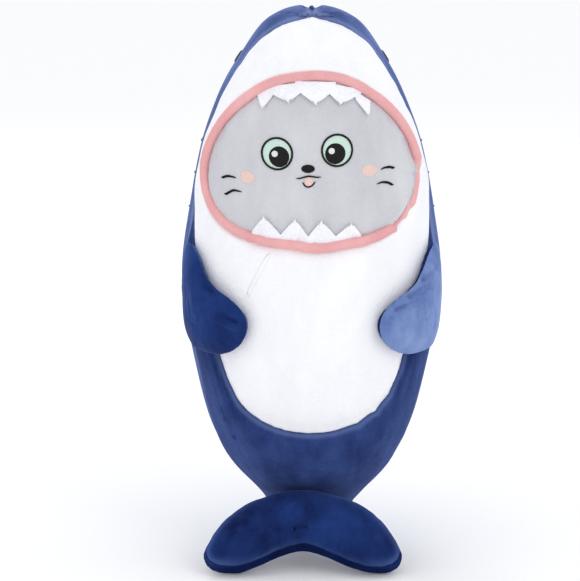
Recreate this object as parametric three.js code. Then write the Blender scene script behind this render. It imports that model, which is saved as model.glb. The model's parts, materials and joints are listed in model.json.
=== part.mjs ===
// Plush shark with a cat's face looking out of its mouth. It sits upright on the end of its tail,
// with the tail fluke folded forward as a foot.
// Millimetres, +Z up, belly towards -Y. The origin is under the middle of the whole toy.

import * as THREE from "three";

// ---- Driving dimensions ----

const bodyHeight = 550;
const bodyWidth = 263;
const bodyDepth = 229;

const fabric = 2; // plush cloth, with the backing of its pile
const seamGap = 0.3; // between two panels that are sewn edge to edge
const stuffingClearance = 0.0076 * bodyWidth; // keeps the faceted stuffing under the faceted skin
const seamEdge = 1.6; // half the thickness of a fin at the seam round its edge

const pipingRadius = 4.5;
const feltThickness = 1.2;
const stitchThickness = 0.6;
const stitchLift = 0.3;

const eyeRadius = 15.4;
const eyeRimWidth = 1.7;
const eyeSpacing = 57.2;
const pupilRadius = 9.5;
const faceTilt = 3.5; // degrees, the face's left-hand side in the view is lower

const pectoralHalfThickness = 10;
const dorsalReach = 70;
const dorsalHalfThickness = 13;
const flukeSpan = 211;
const flukeLength = 91;
const flukeHalfThickness = 20;
const flukeTilt = 40; // degrees from hanging straight down
const finStuffingGap = 0.9; // between the stuffing of a fin and the inside of its panels
const rootGap = 0.9; // between a fin's root seam and the skin it is sewn to
const flukeRootGap = 0.3; // the same at the tail, where the skin is flatter between its corners

// ---- The outer shape of the body ----

// Height, half width, half depth and the middle of the depth, as shares of the three sizes above.
const bodyStations = [
  [0, 0.11, 0.105, 0.2],
  [0.04, 0.145, 0.153, 0.179],
  [0.091, 0.185, 0.231, 0.135],
  [0.147, 0.283, 0.319, 0.1],
  [0.225, 0.361, 0.4, 0.068],
  [0.304, 0.418, 0.452, 0.05],
  [0.407, 0.475, 0.487, 0.041],
  [0.513, 0.5, 0.5, 0.041],
  [0.633, 0.469, 0.489, 0.044],
  [0.72, 0.43, 0.456, 0.041],
  [0.844, 0.348, 0.378, 0.046],
  [0.927, 0.247, 0.279, 0.048],
  [0.967, 0.183, 0.201, 0.044],
  [0.993, 0.095, 0.105, 0.044],
  [1, 0, 0, 0.044],
];

const degrees = Math.PI / 180;
const range = (count) => Array.from({ length: count }, (_, i) => i);
const mix = THREE.MathUtils.lerp;

// Smooth value between rows of [position, value], with each row's slope from its neighbours.
function smoothBetween(rows, position) {
  let i = rows.findIndex((row) => row[0] > position) - 1;
  if (i < 0) i = position < rows[0][0] ? 0 : rows.length - 2;
  const slope = (k) => {
    const before = rows[Math.max(k - 1, 0)];
    const after = rows[Math.min(k + 1, rows.length - 1)];
    return (after[1] - before[1]) / (after[0] - before[0]);
  };
  const [start, end] = [rows[i], rows[i + 1]];
  const length = end[0] - start[0];
  const t = THREE.MathUtils.clamp((position - start[0]) / length, 0, 1);
  const rise = end[1] - start[1];
  const bend = slope(i) * length - rise;
  const unbend = rise - slope(i + 1) * length;
  return start[1] + rise * t + t * (1 - t) * (bend * (1 - t) + unbend * t);
}

// Widths and depths are squared before they are joined up, so the nose closes as a round dome.
const halfWidthRows = bodyStations.map((s) => [s[0] * bodyHeight, (s[1] * bodyWidth) ** 2]);
const halfDepthRows = bodyStations.map((s) => [s[0] * bodyHeight, (s[2] * bodyDepth) ** 2]);
const middleRows = bodyStations.map((s) => [s[0] * bodyHeight, s[3] * bodyDepth]);
const halfWidthAt = (height) => Math.sqrt(Math.max(smoothBetween(halfWidthRows, height), 0));
const halfDepthAt = (height) => Math.sqrt(Math.max(smoothBetween(halfDepthRows, height), 0));
const middleAt = (height) => smoothBetween(middleRows, height);

// A point of the skin. The angle runs round the body from the middle of the belly, in degrees.
function bareSkin(angle, height) {
  const turn = angle * degrees;
  return new THREE.Vector3(
    halfWidthAt(height) * Math.sin(turn),
    middleAt(height) - halfDepthAt(height) * Math.cos(turn),
    height,
  );
}

// The same point moved straight out of the skin. A height under zero is a way in across the flat base.
function skin(angle, height, lift = 0) {
  if (height <= 0) {
    const share = (halfWidthAt(0) + height + lift) / halfWidthAt(0);
    const turn = angle * degrees;
    return new THREE.Vector3(
      halfWidthAt(0) * share * Math.sin(turn),
      middleAt(0) - halfDepthAt(0) * share * Math.cos(turn),
      -lift,
    );
  }
  const step = 0.4;
  const low = Math.max(height - step, 0);
  const high = Math.min(height + step, bodyHeight - step / 4);
  const along = bareSkin(angle, high).sub(bareSkin(angle, low));
  const round = bareSkin(angle + step, height).sub(bareSkin(angle - step, height));
  const normal = round.cross(along).normalize();
  return bareSkin(angle, height).addScaledVector(normal, lift);
}

// A point of the front, from its distance to the middle line and its height.
function front(x, height, lift = 0) {
  const angle = Math.asin(THREE.MathUtils.clamp(x / halfWidthAt(height), -1, 1)) / degrees;
  return skin(angle, height, lift);
}

// ---- Closed solids from grids of points ----

const black = "#1c1c20";
const plush = (color) => new THREE.MeshStandardMaterial({ color, roughness: 0.95, metalness: 0 });
const thread = (color) => new THREE.MeshStandardMaterial({ color, roughness: 0.6, metalness: 0 });
const felt = (color) => new THREE.MeshStandardMaterial({ color, roughness: 0.85, metalness: 0 });
const sides = [
  ["left", -1],
  ["right", 1],
];
const shark = new THREE.Group();

// Six times the volume that closed faces hold, which is negative when they point inwards.
function signedVolume(points, faces) {
  const cone = new THREE.Vector3();
  return faces.reduce((sum, [a, b, c]) => sum + cone.crossVectors(points[a], points[b]).dot(points[c]), 0);
}

function addMesh(name, shape, faces, material, mirrored = false) {
  const points = shape.map((p) => new THREE.Vector3(mirrored ? -p.x : p.x, p.y, p.z));
  const inverted = signedVolume(points, faces) < 0;
  const order = faces.map(([a, b, c]) => (inverted ? [a, c, b] : [a, b, c]));
  const geometry = new THREE.BufferGeometry();
  geometry.setAttribute("position", new THREE.Float32BufferAttribute(points.flatMap((p) => p.toArray()), 3));
  geometry.setIndex(order.flat());
  geometry.computeVertexNormals();
  const mesh = new THREE.Mesh(geometry, material);
  mesh.name = name;
  shark.add(mesh);
}

// A cloth panel: outer(row, column) and inner(row, column) give its two faces, and walls close
// its edges. A ring joins its last column to its first.
function panel(name, rows, columns, outer, inner, material, options = {}) {
  const { ring = false, mirrored = false } = options;
  const points = [];
  for (const face of [outer, inner])
    for (const row of range(rows)) for (const column of range(columns)) points.push(face(row, column));
  const at = (side, row, column) => side * rows * columns + row * columns + (column % columns);
  const faces = [];
  const quad = (a, b, c, d) => faces.push([a, b, c], [a, c, d]);
  const spans = ring ? columns : columns - 1;
  for (const row of range(rows - 1))
    for (const column of range(spans)) {
      const corners = [
        [row, column],
        [row + 1, column],
        [row + 1, column + 1],
        [row, column + 1],
      ];
      quad(...corners.map((corner) => at(0, ...corner)));
      quad(...corners.reverse().map((corner) => at(1, ...corner)));
    }
  for (const column of range(spans)) {
    const last = rows - 1;
    quad(at(0, 0, column + 1), at(1, 0, column + 1), at(1, 0, column), at(0, 0, column));
    quad(at(0, last, column), at(1, last, column), at(1, last, column + 1), at(0, last, column + 1));
  }
  if (!ring)
    for (const row of range(rows - 1)) {
      const last = columns - 1;
      quad(at(0, row, 0), at(1, row, 0), at(1, row + 1, 0), at(0, row + 1, 0));
      quad(at(0, row + 1, last), at(1, row + 1, last), at(1, row, last), at(0, row, last));
    }
  addMesh(name, points, faces, material, mirrored);
}

// A closed lump made of rings round a line, with one point at each end.
function lump(name, firstPoint, rings, lastPoint, material, mirrored = false) {
  const columns = rings[0].length;
  const points = [firstPoint, ...rings.flat(), lastPoint];
  const at = (row, column) => 1 + row * columns + (column % columns);
  const end = points.length - 1;
  const faces = [];
  for (const column of range(columns)) {
    faces.push([0, at(0, column), at(0, column + 1)]);
    for (const row of range(rings.length - 1)) {
      const [a, b] = [at(row, column), at(row + 1, column)];
      const [c, d] = [at(row + 1, column + 1), at(row, column + 1)];
      faces.push([a, b, c], [a, c, d]);
    }
    faces.push([at(rings.length - 1, column), end, at(rings.length - 1, column + 1)]);
  }
  addMesh(name, points, faces, material, mirrored);
}

// A round patch of stitching or cloth: spot(share, turn, lift) gives its points, from its middle
// at share 0 to its edge at share 1.
function patch(name, columns, shares, spot, base, thickness, material) {
  const rim = (share, lift) => range(columns).map((i) => spot(share, (i / columns) * 2 * Math.PI, lift));
  const top = shares.map((share) => rim(share, base + thickness));
  const bottom = shares.toReversed().map((share) => rim(share, base));
  lump(name, spot(0, 0, base + thickness), [...top, ...bottom], spot(0, 0, base), material);
}

// ---- Seams of the body ----

const seamAngle = 79; // of the side seam, which runs from the base up to the nose
const seamTop = 0.991 * bodyHeight; // where the two side seams meet, over the front of the nose
const seamBend = 0.855 * bodyHeight; // where the side seam starts to turn in to the nose
const cornerHeight = 0.673 * bodyHeight; // where the white belly meets the side seam

function sideSeamAngle(height) {
  const share = THREE.MathUtils.clamp((height - seamBend) / (seamTop - seamBend), 0, 1);
  return seamAngle * Math.sqrt(1 - share ** 6);
}

const noseRows = range(6).map((i) => mix(seamBend, seamTop, Math.sin(((6 - i) / 6) * (Math.PI / 2))));
const cheekRows = range(5).map((i) => mix(seamBend, cornerHeight, i / 4));
const flankRows = range(11).map((i) => mix(cornerHeight, 0, (i + 1) / 11));
const seamRows = [...noseRows, ...cheekRows];

// The lower edge of the white belly, from the left side seam round to the right one.
const bellyEdgeStops = [
  [66, 0.573],
  [51, 0.4],
  [48, 0.327],
  [38, 0.287],
  [20, 0.262],
];
const bellyEdgeCurve = new THREE.CatmullRomCurve3(
  [
    [-seamAngle, cornerHeight / bodyHeight],
    ...bellyEdgeStops.map(([angle, share]) => [-angle, share]),
    [0, 0.255],
    ...bellyEdgeStops.toReversed(),
    [seamAngle, cornerHeight / bodyHeight],
  ].map(([angle, share]) => new THREE.Vector3(angle, share * bodyHeight, 0)),
  false,
  "centripetal",
);
const bellyEdge = bellyEdgeCurve.getPoints(18).map((p) => ({ angle: p.x, height: p.y }));

// The edge of the white belly, all the way round from the nose: right side seam, lower edge, left.
const rightSeam = seamRows.map((height) => ({ angle: sideSeamAngle(height), height }));
const leftSeam = rightSeam.slice(1).toReversed().map(({ angle, height }) => ({ angle: -angle, height }));
const bellyOutline = [...rightSeam, ...bellyEdge.toReversed().slice(1, -1), ...leftSeam];

// The mouth opening, as the middle line of the piping round it.
const mouthAngle = -1;
const mouthMiddle = 0.74 * bodyHeight;
const mouthStops = [
  [0, 0.881],
  [25, 0.871],
  [38, 0.846],
  [50, 0.813],
  [59, 0.758],
  [59.5, 0.713],
  [54.5, 0.676],
  [45.5, 0.643],
  [35, 0.623],
  [22.5, 0.609],
  [0, 0.6],
];
const mouthCurve = new THREE.CatmullRomCurve3(
  [...mouthStops, ...mouthStops.slice(1, -1).toReversed().map(([angle, share]) => [-angle, share])].map(
    ([angle, share]) => new THREE.Vector3(angle + mouthAngle, share * bodyHeight, 0),
  ),
  true,
  "centripetal",
);

// How far over the skin one degree round and one millimetre of height reach at a place.
function skinScale({ angle, height }) {
  const round = bareSkin(angle + 0.5, height).distanceTo(bareSkin(angle - 0.5, height));
  const up = bareSkin(angle, height + 0.5).distanceTo(bareSkin(angle, height - 0.5));
  return { round, up };
}

// A step over the skin from one place towards another, in millimetres.
function stepTowards(place, target, distance) {
  const { round, up } = skinScale(place);
  const run = Math.hypot((target.angle - place.angle) * round, (target.height - place.height) * up);
  return {
    angle: place.angle + ((target.angle - place.angle) * distance) / run,
    height: place.height + ((target.height - place.height) * distance) / run,
  };
}

// A step straight into the mouth from a place on its line. A distance under zero steps out of it.
function stepIntoMouth(index, distance) {
  const place = mouthLine[index];
  const before = mouthLine.at(index - 1);
  const after = mouthLine[(index + 1) % mouthLine.length];
  const { round, up } = skinScale(place);
  const across = (after.angle - before.angle) * round;
  const rise = (after.height - before.height) * up;
  const run = Math.hypot(across, rise);
  return {
    angle: place.angle + (rise / run / round) * distance,
    height: place.height - (across / run / up) * distance,
  };
}

// The place on the mouth's line that lies in the same direction from its middle as a given place.
const mouthLine = mouthCurve.getPoints(240).slice(0, -1).map((p) => ({ angle: p.x, height: p.y }));
const bearing = (place) => {
  const across = halfWidthAt(mouthMiddle) * degrees;
  return Math.atan2((place.angle - mouthAngle) * across, place.height - mouthMiddle);
};
function mouthIndexFacing(place) {
  const wanted = bearing(place);
  const turns = mouthLine.map((candidate) => Math.abs(Math.sin((bearing(candidate) - wanted) / 2)));
  return turns.indexOf(Math.min(...turns));
}
const mouthPlaceFacing = (place) => mouthLine[mouthIndexFacing(place)];
const mouthIndices = bellyOutline.map(mouthIndexFacing);
const mouthRing = bellyOutline.map(mouthPlaceFacing);
const mouthCentre = { angle: mouthAngle, height: mouthMiddle };
const pipingRoom = pipingRadius + seamGap;

// ---- Body skin and stuffing ----

const sharkBlue = plush("#3d5590");
const white = plush("#f6f6fb");
const stuffing = plush("#f2f2ee");

// Rows across the flat base, from its edge inwards, as shares of its half width. The skin takes
// them as heights under zero.
const baseRows = [0.45, 0.85].map((share) => -share * halfWidthAt(0));

// Half a seam's gap as an angle, at a height or on a row of the base.
function seamGapAngle(height) {
  const reach = halfWidthAt(Math.max(height, 0)) + Math.min(height, 0);
  return seamGap / 2 / (reach * degrees);
}

// The place where a row of a back panel starts, on the side seam or, over the nose, on the other
// panel's edge.
function backPanelStart(height) {
  const gap = seamGapAngle(height);
  if (height > seamTop) return { angle: gap, height };
  if (height <= cornerHeight) return { angle: seamAngle + gap, height };
  const seam = { angle: sideSeamAngle(height), height };
  const clear = stepTowards(seam, mouthPlaceFacing(seam), -seamGap / 2);
  return { angle: Math.max(clear.angle, gap), height: clear.height };
}

function addBackPanels() {
  const crown = [0.004, 0.15, 0.5].map((share) => mix(bodyHeight, seamTop, share));
  const heights = [...crown, ...seamRows, ...flankRows, ...baseRows];
  const starts = heights.map(backPanelStart);
  const columns = 7;
  const face = (depth) => (row, column) => {
    const share = column / (columns - 1);
    const centreSeam = 180 - seamGapAngle(heights[row]);
    const angle = mix(starts[row].angle, centreSeam, share);
    return skin(angle, mix(starts[row].height, heights[row], share), -depth);
  };
  for (const side of ["left", "right"])
    panel("back_panel_" + side, heights.length, columns, face(0), face(fabric), sharkBlue, {
      mirrored: side === "left",
    });
}

function addBellyPanel() {
  const steps = 6;
  const face = (depth) => (row, column) => {
    const outerPlace = stepTowards(bellyOutline[column], mouthRing[column], seamGap / 2);
    const innerPlace = stepIntoMouth(mouthIndices[column], -pipingRoom);
    const share = row / (steps - 1);
    const height = mix(innerPlace.height, outerPlace.height, share);
    return skin(mix(innerPlace.angle, outerPlace.angle, share), height, -depth);
  };
  panel("belly_panel", steps, bellyOutline.length, face(0), face(fabric), white, { ring: true });
}

function addLowerFrontPanel() {
  const columns = bellyEdge.length;
  const tops = bellyEdge.map((place) => stepTowards(place, mouthPlaceFacing(place), -seamGap / 2));
  const place = (row, column) => {
    const share = Math.min(row / flankRows.length, 1);
    const onBase = row > flankRows.length;
    const height = onBase ? baseRows[row - flankRows.length - 1] : mix(tops[column].height, 0, share);
    const bottomAngle = seamAngle * ((2 * column) / (columns - 1) - 1);
    const limit = seamAngle - seamGapAngle(height);
    const angle = THREE.MathUtils.clamp(mix(tops[column].angle, bottomAngle, share), -limit, limit);
    return { angle, height };
  };
  const face = (depth) => (row, column) => {
    const { angle, height } = place(row, column);
    return skin(angle, height, -depth);
  };
  const rows = flankRows.length + 1 + baseRows.length;
  panel("lower_front_panel", rows, columns, face(0), face(fabric), sharkBlue);
}

function addBodyFilling() {
  const depth = fabric + seamGap + stuffingClearance;
  const columns = 24;
  const heights = [...seamRows.slice(2), ...flankRows];
  const ring = (height) => range(columns).map((i) => skin((i / columns) * 360, height, -depth));
  const top = new THREE.Vector3(0, middleAt(bodyHeight), bodyHeight - depth - seamGap);
  const bottom = new THREE.Vector3(0, middleAt(0), depth);
  lump("body_filling", top, heights.map(ring), bottom, stuffing);
}

// ---- Mouth: face panel, piping and felt teeth ----

function addFacePanel() {
  const rimPlaces = mouthIndices.map((index) => stepIntoMouth(index, pipingRoom));
  const shares = [0.25, 0.5, 0.75, 1];
  const rim = (share, depth) =>
    rimPlaces.map((place) =>
      skin(mix(mouthCentre.angle, place.angle, share), mix(mouthCentre.height, place.height, share), -depth),
    );
  const outer = shares.map((share) => rim(share, 0));
  const inner = shares.toReversed().map((share) => rim(share, fabric));
  const centre = (depth) => skin(mouthCentre.angle, mouthCentre.height, -depth);
  const rings = [...outer, ...inner].map((places) => places.toReversed());
  lump("face_panel", centre(0), rings, centre(fabric), plush("#cfced4"));
}

function addLipPiping() {
  const sidesRound = 8;
  const lift = pipingRadius - fabric;
  const centres = mouthRing.map((place) => skin(place.angle, place.height, lift));
  const around = (i, side) => {
    const place = mouthRing[i];
    const outward = skin(place.angle, place.height, lift + 1).sub(centres[i]).normalize();
    const count = centres.length;
    const along = centres[(i + 1) % count].clone().sub(centres[(i + count - 1) % count]).normalize();
    const across = new THREE.Vector3().crossVectors(along, outward).normalize();
    const turn = (side / sidesRound) * 2 * Math.PI;
    const point = centres[i].clone().addScaledVector(outward, pipingRadius * Math.cos(turn));
    return point.addScaledVector(across, pipingRadius * Math.sin(turn));
  };
  const points = centres.flatMap((_, i) => range(sidesRound).map((side) => around(i, side)));
  const at = (i, side) => (i % centres.length) * sidesRound + (side % sidesRound);
  const faces = centres.flatMap((_, i) =>
    range(sidesRound).flatMap((side) => {
      const corners = [at(i, side), at(i, side + 1), at(i + 1, side + 1), at(i + 1, side)];
      return [
        [corners[0], corners[1], corners[2]],
        [corners[0], corners[2], corners[3]],
      ];
    }),
  );
  addMesh("lip_piping", points, faces, plush("#eeadad"));
}

// The face and the teeth are laid out for a body of this half width at the eyes. On a wider or
// narrower body their places spread out or close up with it.
const layoutHalfWidth = 108.1;
const faceX = -5.4;
const faceHeight = 0.761 * bodyHeight;
const faceSpread = halfWidthAt(faceHeight) / layoutHalfWidth;

// Each tooth: left end, right end and tip as distances from the middle line, then its length.
const upperTeeth = [
  [-59, -39, -47, 13],
  [-38, -12, -22, 15],
  [-11, 16, 3, 18],
  [17, 41, 25, 16],
  [42, 61, 53, 13],
];
const lowerTeeth = [
  [-55, -31, -46, 19],
  [-29.5, -5, -16, 22],
  [-4, 20.5, 8, 21],
  [21.5, 44, 37, 15],
];

// The teeth start where the piping is as wide as it is at the height of their upper side.
const pipingOverTeeth = pipingRadius - fabric - stitchLift - feltThickness;
const toothRoom = Math.sqrt(pipingRadius ** 2 - pipingOverTeeth ** 2) + seamGap;

// The height of the piping's inner edge over or under the face, at a distance from the middle line.
function pipingEdge(x, upper) {
  const edge = mouthIndices
    .filter((index) => mouthLine[index].height > mouthMiddle === upper)
    .map((index) => stepIntoMouth(index, toothRoom))
    .map(({ angle, height }) => [halfWidthAt(height) * Math.sin(angle * degrees), height])
    .sort((a, b) => a[0] - b[0]);
  const after = THREE.MathUtils.clamp(edge.findIndex((place) => place[0] > x), 1, edge.length - 1);
  const [start, end] = [edge[after - 1], edge[after]];
  return mix(start[1], end[1], (x - start[0]) / (end[0] - start[0]));
}

function addTeeth(kind, teeth, upper) {
  teeth.forEach(([...layout], index) => {
    const length = layout.pop();
    const [left, right, tipX] = layout.map((x) => x * faceSpread);
    const columns = 3;
    const rows = 4;
    const direction = upper ? -1 : 1;
    const tipHeight = pipingEdge(tipX, upper) + direction * length;
    const roundTip = 0.14;
    const face = (lift) => (row, column) => {
      const share = row / (rows - 1);
      const x = mix(left, right, upper ? column / (columns - 1) : 1 - column / (columns - 1));
      const narrowing = 1 - share * (1 - roundTip);
      const height = mix(tipHeight, pipingEdge(x, upper), Math.max(1 - share ** 1.1, 0));
      return front(mix(tipX, x, narrowing), height, lift);
    };
    const top = face(stitchLift + feltThickness);
    panel(`tooth_${kind}_${index + 1}`, rows, columns, top, face(stitchLift), felt("#f4f4f6"));
  });
}

// ---- Embroidered cat face ----

// A point of the face, from its own axes: across and up from between the eyes.
function onFace(across, up, lift) {
  const tilt = faceTilt * degrees;
  const x = (faceX + across * Math.cos(tilt)) * faceSpread - up * Math.sin(tilt);
  return front(x, faceHeight + across * Math.sin(tilt) + up * Math.cos(tilt), lift);
}

function disc(name, across, up, radiusX, radiusUp, base, color) {
  const spot = (share, turn, lift) =>
    onFace(across + radiusX * share * Math.cos(turn), up + radiusUp * share * Math.sin(turn), lift);
  patch(name, 16, [1], spot, base, stitchThickness, thread(color));
}

// A stitched line through places [across, up], with its half width at each end and in its middle.
function stitchedLine(name, places, widths, base, place, color) {
  const curve = new THREE.CatmullRomCurve3(places.map(([a, b]) => new THREE.Vector3(a, b, 0)));
  const steps = 7;
  const edge = (row, side) => {
    const share = row / (steps - 1);
    const centre = curve.getPoint(share);
    const along = curve.getTangent(share);
    const bow = 1 - Math.abs(2 * share - 1);
    const width = mix(mix(widths[0], widths[2], share), widths[1], bow);
    return [centre.x - along.y * side * width, centre.y + along.x * side * width];
  };
  const face = (lift) => (row, column) => place(...edge(row, 1 - 2 * column), lift);
  panel(name, steps, 2, face(base + stitchThickness), face(base), thread(color));
}

function addEye(side, sign) {
  const centre = (sign * eyeSpacing) / 2;
  const irisRadius = eyeRadius - eyeRimWidth - seamGap;
  const columns = 16;
  const rim = (lift) => (row, column) => {
    const turn = (column / columns) * 2 * Math.PI;
    const radius = mix(eyeRadius - eyeRimWidth, eyeRadius, row);
    return onFace(centre + radius * Math.sin(turn), radius * Math.cos(turn), lift);
  };
  const rimTop = rim(stitchLift + stitchThickness);
  panel(`cat_eye_rim_${side}`, 2, columns, rimTop, rim(stitchLift), thread(black), { ring: true });
  disc(`cat_iris_${side}`, centre, 0, irisRadius, irisRadius, stitchLift, "#cdeee0");
  const layer = stitchLift + stitchThickness;
  const reach = irisRadius - pupilRadius;
  const pupilX = centre - sign * 0.55 * reach;
  const pupilUp = -0.8 * reach;
  disc(`cat_pupil_${side}`, pupilX, pupilUp, pupilRadius, pupilRadius, stitchLift + layer, black);
  const glintRadius = 0.3 * pupilRadius;
  const glintX = pupilX - 0.37 * pupilRadius;
  const glintUp = pupilUp + 0.25 * pupilRadius;
  disc(`cat_glint_${side}`, glintX, glintUp, glintRadius, glintRadius, stitchLift + 2 * layer, "#ffffff");
}

function addCatFace() {
  addEye("left", -1);
  addEye("right", 1);
  disc("cat_nose", 0, -15, 6.5, 3.8, stitchLift, "#222226");
  const smile = [
    [-12.2, -23.1],
    [-6.5, -23.6],
    [0, -20.4],
    [6.5, -23.6],
    [12.2, -23.1],
  ];
  stitchedLine("cat_mouth_line", smile, [0.5, 0.7, 0.5], stitchLift, onFace, black);
  const chin = [
    [-5.8, -25],
    [-5.2, -29.5],
    [0, -33],
    [5.2, -29.5],
    [5.8, -25],
  ];
  stitchedLine("cat_chin_line", chin, [0.5, 0.7, 0.5], stitchLift, onFace, black);
  disc("cat_tongue", 0, -27.6, 4, 3.9, stitchLift, "#f3cfc9");
  disc("cheek_left", -58.6, -22, 7, 7, stitchLift, "#f8d5cd");
  disc("cheek_right", 58.6, -22, 7, 7, stitchLift, "#f8d5cd");
  const upperWhisker = [
    [82.3, -23.4],
    [75.5, -21.3],
    [69.5, -23],
  ];
  const lowerWhisker = [
    [80.5, -39],
    [72.7, -34.3],
    [64.8, -35.5],
  ];
  for (const [side, sign] of sides)
    for (const [level, places] of [
      ["upper", upperWhisker],
      ["lower", lowerWhisker],
    ]) {
      const place = (across, up, lift) => onFace(sign * across, up, lift);
      stitchedLine(`whisker_${level}_${side}`, places, [1.3, 1.2, 0.5], stitchLift, place, black);
    }
}

// ---- Embroidered shark eyes and gills on the sides of the body ----

function addSideStitching() {
  const eyePlace = { angle: 100, height: 0.905 * bodyHeight };
  const gills = [
    { height: 0.756, length: 38 },
    { height: 0.698, length: 44 },
    { height: 0.636, length: 50 },
  ];
  for (const [side, sign] of sides) {
    const nearEye = (round, up, lift) => {
      const height = eyePlace.height + up;
      const angle = eyePlace.angle + round / (halfWidthAt(height) * degrees);
      return skin(sign * angle, height, lift);
    };
    const oval = (radiusRound, radiusUp, shiftRound, shiftUp) => (share, turn, lift) =>
      nearEye(
        shiftRound + radiusRound * share * Math.cos(turn),
        shiftUp + radiusUp * share * Math.sin(turn),
        lift,
      );
    const eye = oval(9, 7, 0, 0);
    patch(`shark_eye_${side}`, 16, [1], eye, stitchLift, stitchThickness, thread(black));
    const glintBase = 2 * stitchLift + stitchThickness;
    const glint = oval(2.2, 1.8, 3, 2.5);
    patch(`shark_glint_${side}`, 12, [1], glint, glintBase, stitchThickness, thread("#ffffff"));
    gills.forEach(({ height, length }, index) => {
      const start = 91;
      const reach = length / (halfWidthAt(height * bodyHeight) * degrees);
      const place = (round, up, lift) => skin(sign * round, height * bodyHeight + up, lift);
      const stops = [
        [start, 0],
        [start + reach / 2, -2],
        [start + reach, 6],
      ];
      gillLine(`gill_${side}_${index + 1}`, stops, place);
    });
  }
}

// A gill runs round the body, so its width is measured along the body's height.
function gillLine(name, stops, place) {
  const curve = new THREE.CatmullRomCurve3(stops.map(([a, b]) => new THREE.Vector3(a, b, 0)));
  const steps = 8;
  const face = (lift) => (row, column) => {
    const share = row / (steps - 1);
    const centre = curve.getPoint(share);
    const width = mix(0.5, 1.1, Math.sin(share * Math.PI));
    return place(centre.x, centre.y + (1 - 2 * column) * width, lift);
  };
  panel(name, steps, 2, face(stitchLift + stitchThickness), face(stitchLift), thread(black));
}

// ---- Stuffed fins ----

// Half the thickness of a fin, from its middle at share 0 to its edge seam at share 1.
const crownOf = (share, halfThickness) => seamEdge + (halfThickness - seamEdge) * (1 - share ** 2) ** 0.7;

// A fin is two cloth panels sewn round their edge, with stuffing between them. Its outline is a
// list of flat places, centre is one inside it, and place(x, y, side) puts a flat place in space,
// side millimetres out of the fin's middle.
function addFin(name, outline, centre, halfThickness, place, clothColor, mirrored = false) {
  const shares = [0.4, 0.7, 0.9, 1];
  const spot = (index, share) => [
    mix(centre[0], outline[index][0], share),
    mix(centre[1], outline[index][1], share),
  ];
  const crown = (share) => crownOf(share, halfThickness);
  const lining = (share) => Math.max(crown(share) - fabric, seamGap / 2);
  const columns = outline.length;
  const ringAt = (share, height) => range(columns).map((i) => place(...spot(i, share), height));
  const middle = (height) => place(...centre, height);
  const lowSide = (rings) => rings.map((places) => places.toReversed());
  const top = shares.map((share) => ringAt(share, crown(share)));
  const underTop = shares.toReversed().map((share) => ringAt(share, lining(share)));
  const cloth = plush(clothColor);
  const frontName = name + "_front_panel";
  lump(frontName, middle(crown(0)), [...top, ...underTop], middle(lining(0)), cloth, mirrored);
  const bottom = shares.map((share) => ringAt(share, -crown(share)));
  const overBottom = shares.toReversed().map((share) => ringAt(share, -lining(share)));
  const backRings = lowSide([...bottom, ...overBottom]);
  lump(name + "_back_panel", middle(-crown(0)), backRings, middle(-lining(0)), cloth, mirrored);
  const stuffed = shares.slice(0, 2);
  const room = (share) => lining(share) - finStuffingGap;
  const fillTop = stuffed.map((share) => ringAt(share, room(share)));
  const fillBottom = stuffed.toReversed().map((share) => ringAt(share, -room(share)));
  const rim = ringAt(shares[2], 0);
  const fillRings = [...fillTop, rim, ...fillBottom];
  lump(name + "_filling", middle(room(0)), fillRings, middle(-room(0)), stuffing, mirrored);
}

function closedOutline(stops, count) {
  const points = stops.map(([a, b]) => new THREE.Vector3(a, b, 0));
  const curve = new THREE.CatmullRomCurve3(points, true, "centripetal");
  return range(count).map((i) => {
    const p = curve.getPoint(i / count);
    return [p.x, p.y];
  });
}

// Pectoral fins, sewn to the side of the body in front of the side seam and laid over the belly.
// Their outline is in millimetres round the body, from the middle of the belly, and up it.
const pectoralRoot = seamAngle - 6;
const pectoralHeight = 0.488 * bodyHeight;
const pectoralLength = 110;
const pectoralWidth = 106;
const pectoralStops = [
  [0, 0.46],
  [0, 0.05],
  [0, -0.32],
  [0.16, -0.44],
  [0.4, -0.49],
  [0.68, -0.49],
  [0.92, -0.36],
  [1, -0.16],
  [0.94, 0],
  [0.72, 0.16],
  [0.52, 0.3],
  [0.36, 0.48],
  [0.16, 0.57],
];

function addPectoralFins() {
  const centre = [0.44, -0.06];
  const outline = closedOutline(pectoralStops, 20);
  const bearingOf = (spot) => Math.atan2(spot[1] - centre[1], spot[0] - centre[0]);
  const reachOf = (spot) => Math.hypot(spot[0] - centre[0], spot[1] - centre[1]);
  const turnBetween = (a, b) => Math.abs(Math.sin((bearingOf(a) - bearingOf(b)) / 2));
  const laid = (along, up, side) => {
    const facing = outline.toSorted((a, b) => turnBetween(a, [along, up]) - turnBetween(b, [along, up]))[0];
    const share = Math.min(reachOf([along, up]) / reachOf(facing), 1);
    const height = pectoralHeight + up * pectoralWidth;
    const angle = pectoralRoot - (along * pectoralLength) / (halfWidthAt(pectoralHeight) * degrees);
    return skin(angle, height, rootGap + crownOf(share, pectoralHalfThickness) + side);
  };
  for (const side of ["right", "left"])
    addFin(`pectoral_fin_${side}`, outline, centre, pectoralHalfThickness, laid, "#2f4a86", side === "left");
}

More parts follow.
